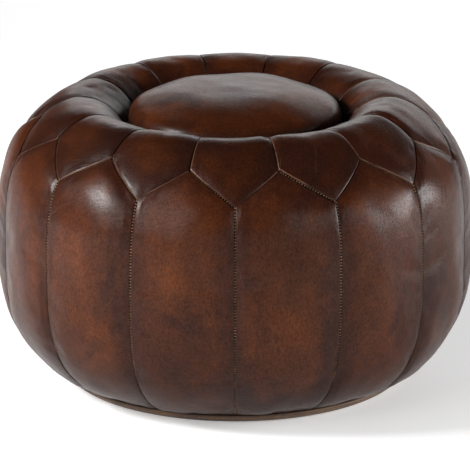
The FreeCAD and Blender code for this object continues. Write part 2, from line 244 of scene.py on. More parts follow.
def seam_depth(along):
    """How deep the sewn edges lie under the panels' fullest part: deepest on the ring, not in the groove."""
    on_ring = np.clip((tip_along - along) / (tip_along - 0.5 * notch_along), 0, 1)
    on_ring = on_ring * on_ring * (3 - 2 * on_ring)
    in_groove = np.clip(along / (16 * MM), 0, 1)
    closing = 0.08 + 0.92 * in_groove * (2 - in_groove)
    return (SIDE_SEAM_DEPTH + (RING_SEAM_DEPTH - SIDE_SEAM_DEPTH) * on_ring) * closing


def crowded(t):
    """Moves evenly spaced rows, from -1 to 1, closer together towards both ends."""
    return t * (1.3 - 0.3 * t * t)


def crowded_again(count):
    """Row numbers, from 0 to count, for a finer grid whose rows crowd closer still at both ends."""
    t = np.linspace(-1, 1, count * FINER + 1)
    return (t * (1.25 - 0.25 * t * t) + 1) / 2 * count


FINER = 2


class Panel:
    """One leather piece on a grid: across runs from -1 to 1, down from -1 at the top to 1."""

    def __init__(self, name, node, columns, rows, seed):
        self.name = name
        self.node = node
        self.columns = columns
        self.rows = rows
        self.seed = seed
        self.shape = None

    def flat_places(self, columns=None, rows=None):
        """Angle and distance along the outline, for the grid's points or for some columns and rows."""
        columns = np.arange(self.columns + 1) if columns is None else columns
        rows = np.arange(self.rows + 1) if rows is None else rows
        across, down = np.meshgrid(
            crowded(2 * columns / self.columns - 1), crowded(2 * rows / self.rows - 1)
        )
        return self.laid(across, (down + 1) / 2)

    def tone(self, angle):
        """How warm the hide is, from 0 to 1: a random level for each piece, with painted light that makes it
        warmest on one side of the pouf and at a piece's left, and painted shade towards its right.
        """
        chance = np.random.default_rng(self.seed + 7).uniform(-1, 1) * self.tone_chance
        level = self.usual_tone + self.painted_light_swing * math.cos(self.middle[0] - self.painted_light_side) + chance
        across = (angle - self.middle[0]) / (PITCH / 2)
        return np.clip(level - self.painted_shade_fall * across, 0, 1)

    def start_shape(self):
        """The panel before it is stuffed: sunk at its seams, and slack between them."""
        angle, along = self.flat_places()
        near = np.min(self.seam_distances(angle, along), axis=0)
        depth = seam_depth(along) - 2.0 * MM * (1 - np.exp(-near / (14 * MM)))
        return cover.place(angle, along, depth)


class Petal(Panel):
    usual_tone = 0.42
    painted_light_swing = 0.24
    tone_chance = 0.08
    painted_shade_fall = 0.25
    painted_light_side = math.pi

    def __init__(self, i):
        super().__init__(f"petal_{i + 1:02d}_leather", f"petal_{i + 1:02d}", 26, 30, 100 + 10 * i)
        middle = i * PITCH
        self.left = [around_to(a, middle) for a in (groove_angle[i - 1], notch_at[0][i - 1])]
        self.right = [around_to(a, middle) for a in (groove_angle[i], notch_at[0][i])]
        self.middle = [middle, around_to(tip_at[0][i], middle)]
        self.ends = notch_at[1][i - 1], tip_at[1][i], notch_at[1][i]

    def outer_end(self, across):
        left, middle, right = self.ends
        return middle + np.where(across < 0, left - middle, right - middle) * np.abs(across)

    def laid(self, across, down):
        left = self.left[0] + (self.left[1] - self.left[0]) * down
        right = self.right[0] + (self.right[1] - self.right[0]) * down
        middle = self.middle[0] + (self.middle[1] - self.middle[0]) * down
        angle = np.where(
            across < 0, middle + (middle - left) * across, middle + (right - middle) * across
        )
        return angle, self.outer_end(across) * down

    def seam_distances(self, angle, along):
        """Distances to the left, right, outer and groove seams."""
        radius = cover.radius(along)
        left = (angle - np.interp(along, [0, self.ends[0]], self.left)) * radius
        right = (np.interp(along, [0, self.ends[2]], self.right) - angle) * radius
        across = np.clip((angle - self.middle[1]) / (PITCH / 2), -1, 1)
        steep = (self.ends[1] - (self.ends[0] + self.ends[2]) / 2) / (PITCH / 2 * radius)
        outer = (self.outer_end(across) - along) / np.sqrt(1 + steep**2)
        return left, right, outer, along

    def creases(self, angle, along):
        left, right, outer, groove = self.seam_distances(angle, along)
        radius = cover.radius(along)
        turn = angle * radius
        height = 0.55 * MM * puckers(along, left, 8 * MM, 15 * MM, self.seed)
        height += 0.55 * MM * puckers(along, right, 8 * MM, 15 * MM, self.seed - 10)
        height += 0.45 * MM * puckers(turn, outer, 8 * MM, 14 * MM, self.seed + 3)
        height += 1.5 * MM * puckers(turn, groove, 11 * MM, 38 * MM, self.seed + 5)
        return height

    def rubbing(self, distances):
        """Where a petal's rolled edges get a painted highlight: every edge but the right one, which faces
        away from the key light.
        """
        left, right, outer, groove = distances
        return np.where(right < np.minimum(left, outer), 0.1, 1.0)

    def rolls(self, angle, along):
        left, right, outer, groove = self.seam_distances(angle, along)
        edge = np.minimum(np.minimum(left, right), outer)
        return np.maximum(rolled(edge, 2.0 * MM, 1.9 * MM), rolled(groove, 3 * MM, 0.5 * MM))


class SidePanel(Panel):
    usual_tone = 0.50
    painted_light_swing = 0.36
    tone_chance = 0.13
    painted_shade_fall = 0.05
    painted_light_side = -1.0

    def __init__(self, i):
        super().__init__(
            f"side_panel_{i + 1:02d}_leather", f"side_panel_{i + 1:02d}", 30, 64, 500 + 10 * i
        )
        after = (i + 1) % PANELS
        middle = (i + 0.5) * PITCH
        self.left = [around_to(a, middle) for a in (tip_at[0][i], foot_angle[i])]
        self.right = [around_to(a, middle) for a in (tip_at[0][after], foot_angle[after])]
        self.middle = [around_to(notch_at[0][i], middle), (self.left[1] + self.right[1]) / 2]
        self.ends = tip_at[1][i], notch_at[1][i], tip_at[1][after]

    def top(self, across):
        left, middle, right = self.ends
        return middle + np.where(across < 0, left - middle, right - middle) * np.abs(across)

    def laid(self, across, down):
        left = self.left[0] + (self.left[1] - self.left[0]) * down
        right = self.right[0] + (self.right[1] - self.right[0]) * down
        middle = self.middle[0] + (self.middle[1] - self.middle[0]) * down
        angle = np.where(
            across < 0, middle + (middle - left) * across, middle + (right - middle) * across
        )
        top = self.top(across)
        return angle, top + (cover.total - top) * down

    def seam_distances(self, angle, along):
        """Distances to the left, right, top and base seams."""
        radius = cover.radius(along)
        left = (angle - np.interp(along, [self.ends[0], cover.total], self.left)) * radius
        right = (np.interp(along, [self.ends[2], cover.total], self.right) - angle) * radius
        across = np.clip((angle - self.middle[0]) / (PITCH / 2), -1, 1)
        steep = ((self.ends[0] + self.ends[2]) / 2 - self.ends[1]) / (PITCH / 2 * radius)
        top = (along - self.top(across)) / np.sqrt(1 + steep**2)
        return left, right, top, cover.total - along

    def creases(self, angle, along):
        left, right, top, foot = self.seam_distances(angle, along)
        turn = angle * cover.radius(along)
        height = 0.32 * MM * puckers(along, left, 8 * MM, 14 * MM, self.seed)
        height += 0.32 * MM * puckers(along, right, 8 * MM, 14 * MM, self.seed - 10)
        height += 0.36 * MM * puckers(turn, top, 10 * MM, 18 * MM, self.seed + 3)
        height += 0.9 * MM * puckers(turn, foot, 14 * MM, 30 * MM, self.seed + 5)
        return height

    def rubbing(self, distances):
        # A faint painted highlight on all of a side panel's edges.
        return np.full(distances[0].shape, 0.1)

    def rolls(self, angle, along):
        left, right, top, foot = self.seam_distances(angle, along)
        sides = rolled(np.minimum(left, right), 2.6 * MM, 2.2 * MM)
        ends = np.maximum(rolled(top, 2.0 * MM, 1.9 * MM), rolled(foot, 2 * MM, 1.2 * MM))
        return np.maximum(sides, ends)


petals = [Petal(i) for i in range(PANELS)]
side_panels = [SidePanel(i) for i in range(PANELS)]
panels = petals + side_panels


# ---------------------------------------------------------------- mesh helpers


def new_piece(name, bm, smooth=True):
    """Turns a bmesh into an object at the origin."""
    mesh = bpy.data.meshes.new(name)
    bm.to_mesh(mesh)
    bm.free()
    mesh.polygons.foreach_set("use_smooth", [smooth] * len(mesh.polygons))
    piece = bpy.data.objects.new(name, mesh)
    bpy.context.scene.collection.objects.link(piece)
    return piece


def grid_mesh(columns, rows, places):
    """A bmesh grid whose points, row by row, are put at the given places."""
    bm = bmesh.new()
    bmesh.ops.create_grid(bm, x_segments=columns, y_segments=rows, size=1)
    flat = places.reshape(-1, 3)
    order = sorted(bm.verts, key=lambda vert: (round(vert.co.y * rows), round(vert.co.x * columns)))
    for vert, place in zip(order, flat):
        vert.co = place
    bm.verts.index_update()
    return bm, order


def make_finer(count, at):
    """Weights that put points, given by row number, on a smooth curve through the counted ones."""
    i = np.clip(np.floor(at).astype(int), 0, count - 1)
    f = at - i
    weights = np.zeros((len(at), count + 1))
    cubic = [
        -0.5 * f + f**2 - 0.5 * f**3,
        1 - 2.5 * f**2 + 1.5 * f**3,
        0.5 * f + 2 * f**2 - 1.5 * f**3,
        -0.5 * f**2 + 0.5 * f**3,
    ]
    rows = np.arange(len(at))
    for step, share in zip((-1, 0, 1, 2), cubic):
        column = i + step
        for side, inner in ((0, 1), (count, count - 1)):
            # Past an end, the curve goes straight on.
            past = column < 0 if side == 0 else column > count
            np.add.at(weights, (rows[past], np.full(past.sum(), side)), 2 * share[past])
            np.add.at(weights, (rows[past], np.full(past.sum(), inner)), -share[past])
        inside = (column >= 0) & (column <= count)
        np.add.at(weights, (rows[inside], column[inside]), share[inside])
    return weights


def spun(bm, steps):
    """Spins a profile once round the upright axis, and closes it."""
    bmesh.ops.spin(
        bm,
        geom=bm.verts[:] + bm.edges[:],
        axis=(0, 0, 1),
        angle=2 * math.pi,
        steps=steps,
        use_merge=True,
    )
    bmesh.ops.remove_doubles(bm, verts=bm.verts[:], dist=1e-6)


def set_attribute(mesh, name, values):
    layer = mesh.attributes.new(name, "FLOAT", "POINT")
    layer.data.foreach_set("value", np.asarray(values, np.float32))


def set_lay(mesh, across, down):
    """Where each point lies on the flat hide, so that brush marks follow the piece."""
    flat = np.stack([across, down, 0 * across], axis=1).astype(np.float32)
    layer = mesh.attributes.new("lay", "FLOAT_VECTOR", "POINT")
    layer.data.foreach_set("vector", flat.reshape(-1))


def thickened(piece, thickness):
    """Gives a sheet its thickness, on the side away from its faces' fronts."""
    wall = piece.modifiers.new("thickness", "SOLIDIFY")
    wall.thickness = thickness
    wall.offset = -1
    return piece


# ---------------------------------------------------------------- stuffing the cover

STUFFING_PRESSURE = 5.0
SPARE_LEATHER = 0.012
STUFFING_FRAMES = 20
MOST_SWELL = 9 * MM
SMOOTHINGS = 2


def stuff_cover():
    """Blows the whole cover up as cloth that is held at its seams, and keeps each panel's shape."""
    bm = bmesh.new()
    sewn = []
    for panel in panels:
        part, order = grid_mesh(panel.columns, panel.rows, panel.shape)
        face_outwards(part)
        part_mesh = bpy.data.meshes.new("part")
        edge = {vert.index for vert in part.verts if vert.is_boundary}
        ranks = {vert.index: rank for rank, vert in enumerate(order)}
        panel.order = np.array([ranks[vert.index] for vert in part.verts])
        sewn += [len(bm.verts) + i for i in edge]
        part.to_mesh(part_mesh)
        part.free()
        bm.from_mesh(part_mesh)
        bm.verts.index_update()
        bpy.data.meshes.remove(part_mesh)
    slack = new_piece("slack_cover", bm)
    held = slack.vertex_groups.new(name="sewn")
    held.add(sewn, 1.0, "REPLACE")
    cloth = slack.modifiers.new("stuffing", "CLOTH")
    setup = cloth.settings
    setup.quality = 5
    setup.mass = 0.4
    setup.tension_stiffness = 25
    setup.compression_stiffness = 25
    setup.shear_stiffness = 8
    setup.bending_stiffness = 0.4
    setup.air_damping = 4
    setup.shrink_min = -SPARE_LEATHER
    setup.use_pressure = True
    setup.uniform_pressure_force = STUFFING_PRESSURE
    setup.vertex_group_mass = "sewn"
    setup.effector_weights.gravity = 0
    cloth.collision_settings.use_collision = False
    cloth.point_cache.frame_start = 1
    cloth.point_cache.frame_end = STUFFING_FRAMES
    scene = bpy.context.scene
    for step in range(1, STUFFING_FRAMES + 1):
        scene.frame_set(step)
        depsgraph = bpy.context.evaluated_depsgraph_get()
    full = slack.evaluated_get(depsgraph).to_mesh()
    found = np.empty(len(full.vertices) * 3)
    full.vertices.foreach_get("co", found)
    found = found.reshape(-1, 3)
    start = 0
    for panel in panels:
        count = panel.order.size
        moved = np.empty((count, 3))
        moved[panel.order] = found[start : start + count]
        start += count
        step = moved.reshape(panel.shape.shape) - panel.shape
        for _ in range(SMOOTHINGS):
            inner = step[1:-1, :-2] + step[1:-1, 2:] + step[:-2, 1:-1] + step[2:, 1:-1]
            step[1:-1, 1:-1] = 0.5 * step[1:-1, 1:-1] + 0.125 * inner
        size = np.linalg.norm(step, axis=-1, keepdims=True)
        panel.shape = panel.shape + step * np.minimum(1, MOST_SWELL / np.maximum(size, 1e-9))
    bpy.data.objects.remove(slack)
    scene.frame_set(1)


def face_outwards(bm):
    """Turns a whole panel's faces outwards; a grid's faces all wind the same way."""
    bm.normal_update()
    if sum(f.normal.dot(f.calc_center_median() - Vector((0, 0, 0.15))) for f in bm.faces) < 0:
        bmesh.ops.reverse_faces(bm, faces=bm.faces[:])


def turn_in_edges(bm, order, inwards):
    """Turns the panel's four edges in, as they are before a seam is sewn."""
    into = {vert: Vector(way) for vert, way in zip(order, inwards.reshape(-1, 3))}
    rim = [edge for edge in bm.edges if edge.is_boundary]
    grown = bmesh.ops.extrude_edge_only(bm, edges=rim)["geom"]
    for vert in [item for item in grown if isinstance(item, bmesh.types.BMVert)]:
        beside = (edge.other_vert(vert) for edge in vert.link_edges)
        vert.co = vert.co + into[next(other for other in beside if other in into)] * TURNED_EDGE


def panel_piece(panel):
    """The finished panel: fuller grid, creases, rolled and turned edges, and leather's thickness."""
    columns = crowded_again(panel.columns)
    rows = crowded_again(panel.rows)
    shape = np.einsum(
        "ij,jkc,lk->ilc", make_finer(panel.rows, rows), panel.shape, make_finer(panel.columns, columns)
    )
    angle, along = panel.flat_places(columns, rows)
    outwards = cover.outwards(angle, along)
    distances = np.array(panel.seam_distances(angle, along))
    near = distances.min(axis=0)
    calm = np.clip(near / (12 * MM), 0, 1)
    lift = panel.creases(angle, along) * np.clip(near / (3 * MM), 0.25, 1)
    lift += (0.8 * MM * lumps.at(shape) + 0.12 * MM * ripples.at(shape)) * calm
    shape = shape + outwards * (lift - panel.rolls(angle, along))[..., None]
    bm, order = grid_mesh(panel.columns * FINER, panel.rows * FINER, shape)
    turn_in_edges(bm, order, -outwards)
    face_outwards(bm)
    ranks = {vert: rank for rank, vert in enumerate(order)}
    rank = np.array([ranks.get(vert, -1) for vert in bm.verts])
    piece = new_piece(panel.name, bm)
    set_attribute(piece.data, "seam_distance", np.where(rank < 0, -1 * MM, near.reshape(-1)[rank]))
    turn = (angle * cover.radius(along)).reshape(-1)
    set_lay(piece.data, turn[rank], along.reshape(-1)[rank])
    # The warmth of the hide carries painted light on one side of the pouf and painted shade towards each
    # piece's right.
    set_attribute(piece.data, "hide_tone", panel.tone(angle).reshape(-1)[rank])
    # Which rolled edges get a painted highlight, and a narrower painted shade in the seam.
    set_attribute(piece.data, "rubbing", panel.rubbing(distances).reshape(-1)[rank])
    return thickened(piece, LEATHER)


for panel in panels:
    panel.shape = panel.start_shape()
stuff_cover()
panel_pieces = {panel.name: panel_piece(panel) for panel in panels}


# ---------------------------------------------------------------- the centre disc


def disc_piece():
    """The crowned top disc, spun about the axis, with gathers round its edge."""
    rows = 44
    bm = bmesh.new()
    along = disc_outline.total * (np.linspace(0, 1, rows + 1) ** 0.85)
    start = disc_outline.place(np.zeros(rows + 1), along)
    chain = [bm.verts.new(place) for place in start]
    for first, second in zip(chain, chain[1:]):
        bm.edges.new((first, second))
    spun(bm, 224)
    places = np.array([vert.co for vert in bm.verts])
    angle = np.arctan2(places[:, 0], -places[:, 1])
    radius = np.hypot(places[:, 0], places[:, 1])
    heights = np.column_stack([radius, places[:, 2]])
    nearest = np.array([disc_outline.nearest(point) for point in heights])
    outwards = disc_outline.outwards(angle, nearest)
    away = disc_outline.total - nearest
    turn = angle * disc_radius
    fade = np.clip(radius / (30 * MM), 0, 1)
    # The creases meet themselves where the circle closes, at the back.
    closing = np.clip((math.pi - np.abs(angle)) / 0.08, 0, 1)
    lift = 0.5 * MM * puckers(turn, away - 16 * MM, 10 * MM, 22 * MM, 77) * closing
    lift += 0.8 * MM * lumps.at(places) + 0.08 * MM * ripples.at(places)
    moved = places + outwards * (lift * fade)[:, None]
    for vert, place in zip(bm.verts, moved):
        vert.co = place
    bmesh.ops.recalc_face_normals(bm, faces=bm.faces[:])
    if sum(face.normal.z for face in bm.faces) < 0:
        bmesh.ops.reverse_faces(bm, faces=bm.faces[:])
    piece = new_piece("centre_disc_leather", bm)
    set_attribute(piece.data, "seam_distance", away - 12 * MM)
    set_attribute(piece.data, "hide_tone", np.full(len(places), 0.45))
    # A faint painted highlight on the disc's rolled edge.
    set_attribute(piece.data, "rubbing", np.full(len(places), 0.2))
    set_lay(piece.data, places[:, 1] + 0.3 * places[:, 0], places[:, 0])
    return thickened(piece, LEATHER)


centre_disc = disc_piece()


# ---------------------------------------------------------------- the base

flat_radius = rim_radius - 16 * MM
rim_rise = 11 * MM
rim_bend = ((rim_radius - flat_radius) ** 2 + rim_rise**2) / (2 * rim_rise)
rim_turn = math.asin((rim_radius - flat_radius) / rim_bend)
base_reach = flat_radius + rim_bend * rim_turn
recess_depth = tape_bottom - LEATHER
recess_mouth = 198 * MM, 26 * MM
recess_roof = 192 * MM, 18 * MM
slot_width = 6.5 * MM


def smooth_step(t):
    t = np.clip(t, 0, 1)
    return t * t * (3 - 2 * t)


def round_off(grid):
    """Draws a square grid, from -1 to 1, out to a circle, and leaves it square near the middle."""
    x, y = grid.T
    return np.stack([x * np.sqrt(1 - y**2 / 2), y * np.sqrt(1 - x**2 / 2)], axis=1)


def lifted_base(flat):
    """Heights for the flat base: its turned-up rim, the recess for the zip, and soft creases."""
    reach = np.linalg.norm(flat, axis=1)
    turn = np.clip((reach - flat_radius) / rim_bend, 0, rim_turn)
    radius = np.where(reach > flat_radius, flat_radius + rim_bend * np.sin(turn), reach)
    height = rim_bend * (1 - np.cos(turn))
    angle = np.arctan2(flat[:, 0], -flat[:, 1])
    crease = puckers(angle * rim_radius, base_reach - reach, 12 * MM, 20 * MM, 640)
    crease *= np.clip((math.pi - np.abs(angle)) / 0.1, 0, 1)
    radius = radius + 0.7 * MM * crease * np.clip((reach - flat_radius) / (8 * MM), 0, 1)
    height = height + 0.5 * MM * np.maximum(0, -crease)
    x, y = np.abs(flat[:, 0]), np.abs(flat[:, 1])
    ends = (recess_mouth[0] - x) / (recess_mouth[0] - recess_roof[0])
    sides = (recess_mouth[1] - y) / (recess_mouth[1] - recess_roof[1])
    height = height + recess_depth * smooth_step(np.minimum(ends, sides))
    beyond = np.clip((x - slot_length) / (10 * MM), 0, 1)
    height = height + beyond * rolled(y, 3 * MM, 2 * MM)
    spread = np.stack([flat[:, 0], flat[:, 1], 0 * x], axis=1)
    rise = np.maximum(0, lumps.at(spread) + 0.5 * ripples.at(spread))
    height = height + 0.45 * MM * rise * np.clip((flat_radius - reach) / (20 * MM), 0, 1)
    scale = radius / np.maximum(reach, 1e-9)
    return np.stack([flat[:, 0] * scale, flat[:, 1] * scale, height], axis=1)


def grown(bm, edge_points):
    """Extrudes the open edge that joins some points, and gives the points of the new edge."""
    edge = [e for e in bm.edges if e.is_boundary and all(vert in edge_points for vert in e.verts)]
    made = bmesh.ops.extrude_edge_only(bm, edges=edge)["geom"]
    return {item for item in made if isinstance(item, bmesh.types.BMVert)}


def base_half(name, side):
    """One half of the base, from the zip out to the rim, with its edges turned in."""
    bm = bmesh.new()
    bmesh.ops.create_grid(bm, x_segments=150, y_segments=54, size=1)
    places = np.array([vert.co for vert in bm.verts])
    grid = np.stack([places[:, 0], ((places[:, 1] + 1) / 2) ** 1.3], axis=1)
    inner_reach = flat_radius - 2 * MM
    flat = round_off(grid) * inner_reach
    for vert, (x, y) in zip(bm.verts, flat):
        vert.co = x, y, 0
    for point, way in (
        ((slot_length, 0, 0), (1, 0, 0)),
        ((-slot_length, 0, 0), (1, 0, 0)),
        ((0, slot_width, 0), (0, 1, 0)),
    ):
        bmesh.ops.bisect_plane(
            bm, geom=bm.verts[:] + bm.edges[:] + bm.faces[:], dist=1e-6, plane_co=point, plane_no=way
        )
    opening = [
        face
        for face in bm.faces
        if abs(face.calc_center_median().x) < slot_length and face.calc_center_median().y < slot_width
    ]
    bmesh.ops.delete(bm, geom=opening, context="FACES")
    rim = {vert for vert in bm.verts if vert.co.xy.length > inner_reach - 0.1 * MM}
    for reach in np.linspace(inner_reach, base_reach, 10)[1:]:
        rim = grown(bm, rim)
        for vert in rim:
            vert.co.xy = vert.co.xy.normalized() * reach
    flat = np.array([vert.co.xy for vert in bm.verts])
    flat[:, 1] *= side
    for vert, place in zip(bm.verts, lifted_base(flat)):
        vert.co = place
    for vert in grown(bm, rim):
        vert.co.xy *= 1 - TURNED_EDGE / rim_radius
        vert.co.z += 0.5 * TURNED_EDGE
    bm.normal_update()
    if sum(face.normal.z for face in bm.faces) > 0:
        bmesh.ops.reverse_faces(bm, faces=bm.faces[:])
    distances = [
        min(rim_radius - vert.co.xy.length, abs(vert.co.y) if abs(vert.co.x) > slot_length else 1)
        for vert in bm.verts
    ]
    piece = new_piece(name, bm)
    set_attribute(piece.data, "seam_distance", distances)
    return thickened(piece, LEATHER)


base_front = base_half("base_front_leather", -1)
base_back = base_half("base_back_leather", 1)

# ---------------------------------------------------------------- the bag of stuffing

BAG_DEPTH = 12 * MM
bag_floor = 13.5 * MM


def turned_cloth(name, points, steps, crease, seed, closed=False):
    """A sewn round of cloth: a profile spun about the axis, with soft folds."""
    profile = Outline(points, samples=600)
    along = np.linspace(0, profile.total, 60)
    bm = bmesh.new()
    chain = [bm.verts.new(place) for place in profile.place(np.zeros(60), along)]
    for first, second in zip(chain, chain[1:]):
        bm.edges.new((first, second))
    spun(bm, steps)
    bmesh.ops.recalc_face_normals(bm, faces=bm.faces[:])
    bm.normal_update()
    centre = Vector((0, 0, 0.18))
    if sum(f.normal.dot(f.calc_center_median() - centre) for f in bm.faces) < 0:
        bmesh.ops.reverse_faces(bm, faces=bm.faces[:])
        bm.normal_update()
    places = np.array([vert.co for vert in bm.verts])
    normals = np.array([vert.normal for vert in bm.verts])
    radius = np.hypot(places[:, 0], places[:, 1])
    fold = Swell(46 * MM, 12, seed).at(places) * crease * np.clip(radius / (60 * MM), 0, 1)
    for vert, place in zip(bm.verts, places - normals * np.abs(fold)[:, None]):
        vert.co = place
    piece = new_piece(name, bm)
    return piece if closed else thickened(piece, COTTON)


def at_depth(start, end, depth, count=9):
    """Profile points on the cover's outline between two distances, sunk by a depth."""
    places = cover.place(np.zeros(count), np.linspace(start, end, count), depth)
    return [(-y, z) for x, y, z in places]


bag_shoulder = cover.nearest((bilge_radius - 22 * MM, ridge_height - 60 * MM))
bag_heel = cover.nearest((bilge_radius - 64 * MM, 24 * MM))


def bag_crown(depth):
    """The top of the bag: over the disc, down into the groove and up over the ridge."""
    inner = disc_radius - depth
    return [
        (0.0, top_height - depth),
        (0.55 * inner, top_height - depth - 5 * MM),
        (0.86 * inner, top_height - depth - 16 * MM),
        (inner, top_height - depth - 34 * MM),
        (inner + 1 * MM, groove_height - 4 * MM),
        (groove_radius, groove_height - depth - 2 * MM),
    ]


bag_top = turned_cloth(
    "inner_bag_top_cotton",
    bag_crown(BAG_DEPTH) + at_depth(16 * MM, bag_shoulder - 1 * MM, BAG_DEPTH),
    140,
    0.8 * MM,
    21,
)
bag_side = turned_cloth(
    "inner_bag_side_cotton", at_depth(bag_shoulder, bag_heel, BAG_DEPTH), 168, 0.8 * MM, 22
)
bag_base = turned_cloth(
    "inner_bag_base_cotton",
    at_depth(bag_heel + 1 * MM, cover.total - 6 * MM, BAG_DEPTH, 5)
    + [(0.7 * flat_radius, bag_floor), (0.35 * flat_radius, bag_floor), (0.0, bag_floor)],
    140,
    0.2 * MM,
    23,
)
STUFFING_DEPTH = 15 * MM
stuffing = turned_cloth(
    "stuffing_fibre",
    bag_crown(STUFFING_DEPTH)
    + at_depth(20 * MM, cover.total - 8 * MM, STUFFING_DEPTH, 16)
    + [(0.7 * flat_radius, bag_floor + 2.5 * MM), (0.0, bag_floor + 2.5 * MM)],
    140,
    1.5 * MM,
    24,
    closed=True,
)

# ---------------------------------------------------------------- sewing thread


def repeated(name, places, shape):
    """Many copies of one small shape. A place is a position, a direction and an up direction."""
    whole = bmesh.new()
    batch = 40
    for first in range(0, len(places), batch):
        bm = bmesh.new()
        for position, direction, up in places[first : first + batch]:
            x = Vector(direction).normalized()
            z = Vector(up)
            z = (z - x * z.dot(x)).normalized()
            turn = Matrix((x, z.cross(x), z)).transposed().to_4x4()
            shape(bm, Matrix.Translation(position) @ turn)
        part = bpy.data.meshes.new("part")
        bm.to_mesh(part)
        bm.free()
        whole.from_mesh(part)
        bpy.data.meshes.remove(part)
    return new_piece(name, whole)


def stitches(name, places, length, thickness):
    """All the stitches of one seam group: short rounded bars of thread."""
    along_x = Matrix.Rotation(math.pi / 2, 4, "Y")
    size = Matrix.Diagonal((length / 2, thickness / 2, thickness / 2, 1))

    def stitch(bm, place):
        bmesh.ops.create_uvsphere(
            bm, u_segments=6, v_segments=4, radius=1, matrix=place @ size @ along_x
        )

    return repeated(name, places, stitch)


def stitch_places(angles, alongs, sunk, wobble_seed, first=1.5 * MM):
    """Stitches that cross a seam, which runs from one (angle, along) place to another."""
    steps = np.linspace(0, 1, 400)
    angle = angles[0] + (angles[1] - angles[0]) * steps
    along = alongs[0] + (alongs[1] - alongs[0]) * steps
    line = cover.place(angle, along, seam_depth(along) + sunk)
    lengths = np.concatenate([[0], np.cumsum(np.linalg.norm(np.diff(line, axis=0), axis=1))])
    rng = np.random.default_rng(wobble_seed)
    count = int((lengths[-1] - 2 * first) / STITCH_PITCH) + 1
    made = []
    for i in range(count):
        at = first + i * STITCH_PITCH + rng.uniform(-0.25, 0.25) * MM
        t = np.interp(at, lengths, steps)
        turn, run_in = np.interp(t, (0, 1), angles), np.interp(t, (0, 1), alongs)
        depth = seam_depth(run_in) + sunk + rng.uniform(-0.1, 0.1) * MM
        position = cover.place(turn, run_in, depth)
        up = cover.outwards(turn, run_in)
        i_line = min(int(t * 399), 398)
        run = line[i_line + 1] - line[i_line]
        across = np.cross(run / np.linalg.norm(run), up)
        slant = rng.uniform(-0.12, 0.12)
        across = across + run / np.linalg.norm(run) * slant
        made.append((Vector(position), across, up))
    return made


def upright_seam_stitches():
    places = []
    for i in range(PANELS):
        angles = tip_at[0][i], around_to(foot_angle[i], tip_at[0][i])
        places += stitch_places(angles, (tip_at[1][i], cover.total), 0.7 * MM, 900 + i)
    return stitches("side_seam_stitches", places, 3.2 * MM, 1.5 * MM)


def petal_seam_stitches():
    places = []
    lip = 14 * MM
    for i in range(PANELS):
        angles = groove_angle[i], around_to(notch_at[0][i], groove_angle[i])
        start = angles[0] + (angles[1] - angles[0]) * lip / notch_at[1][i]
        places += stitch_places((start, angles[1]), (lip, notch_at[1][i]), 1.3 * MM, 930 + i)
    return stitches("petal_seam_stitches", places, 1.8 * MM, 1.0 * MM)


def slanted_seam_stitches():
    places = []
    for i in range(PANELS):
        tip_angle, tip_run = tip_at[0][i], tip_at[1][i]
        for j in (i - 1, i):
            angle = around_to(notch_at[0][j], tip_angle)
            alongs = tip_run, notch_at[1][j]
            places += stitch_places((tip_angle, angle), alongs, 1.1 * MM, 960 + 2 * i + j)
    return stitches("slanted_seam_stitches", places, 2.0 * MM, 1.1 * MM)


def ring_of_stitches(name, radius, height, along_seam, up):
    """Stitches round a level circle, laid along it or across it."""
    count = int(2 * math.pi * radius / STITCH_PITCH)
    places = []
    for i in range(count):
        turn = 2 * math.pi * i / count
        out = Vector((math.sin(turn), -math.cos(turn), 0))
        round_way = Vector((math.cos(turn), math.sin(turn), 0))
        position = out * radius + Vector((0, 0, height))
        places.append((position, round_way if along_seam else out, up(out)))
    return stitches(name, places, 3.0 * MM, 0.8 * MM)


def base_rim_stitches():
    low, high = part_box("base_rim_thread")
    radius = high[0] - 0.4 * MM
    height = (low[2] + high[2]) / 2
    return ring_of_stitches(
        "base_rim_stitches", radius, height, True, lambda out: out - Vector((0, 0, 0.5))
    )


def groove_stitches():
    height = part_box("groove_seam_thread")[1][2] - 0.4 * MM
    return ring_of_stitches(
        "groove_seam_stitches", groove_radius, height, False, lambda out: Vector((0, 0, 1))
    )


def zip_stitches():
    """Two rows that hold the zip's tapes to the leather."""
    low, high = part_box("zip_thread")
    pitch = 3 * MM
    places = []
    for side in (-1, 1):
        for i in range(int((high[0] - low[0]) / pitch)):
            position = low[0] + (i + 0.5) * pitch, side * (high[1] - 0.5 * MM), high[2] - 0.3 * MM
            places.append((Vector(position), (1, 0, 0), (0, 0, -1)))
    return stitches("zip_stitches", places, 2.4 * MM, 0.6 * MM)


def zip_teeth(name, node_name, side):
    """One row of the zip's teeth, half a step along from the other row."""
    low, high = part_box(node_name)
    step = 2.2 * MM
    size = Matrix.Diagonal((1.3 * MM, high[1] - low[1], high[2] - low[2], 1))
    middle = (low + high) / 2
    count = int((high[0] - low[0]) / step)
    first = -step * (count - 1) / 2 + side * step / 4
    places = [
        (Vector((first + i * step, middle[1], middle[2])), (1, 0, 0), (0, 0, 1)) for i in range(count)
    ]

    def tooth(bm, place):
        made = bmesh.ops.create_cube(bm, size=1, matrix=place @ size)["verts"]
        edges = list({edge for vert in made for edge in vert.link_edges})
        bmesh.ops.bevel(
            bm,
            geom=edges,
            offset=0.3 * MM,
            offset_type="OFFSET",
            affect="EDGES",
            segments=1,
            profile=0.5,
            material=-1,
        )

    return repeated(name, places, tooth)


side_seam = upright_seam_stitches()
petal_seam = petal_seam_stitches()
slanted_seam = slanted_seam_stitches()
rim_seam = base_rim_stitches()
groove_seam = groove_stitches()
zip_seam = zip_stitches()
teeth_front = zip_teeth("zip_teeth_front", "zip_coil_front", -1)
teeth_back = zip_teeth("zip_teeth_back", "zip_coil_back", 1)

# ---------------------------------------------------------------- materials


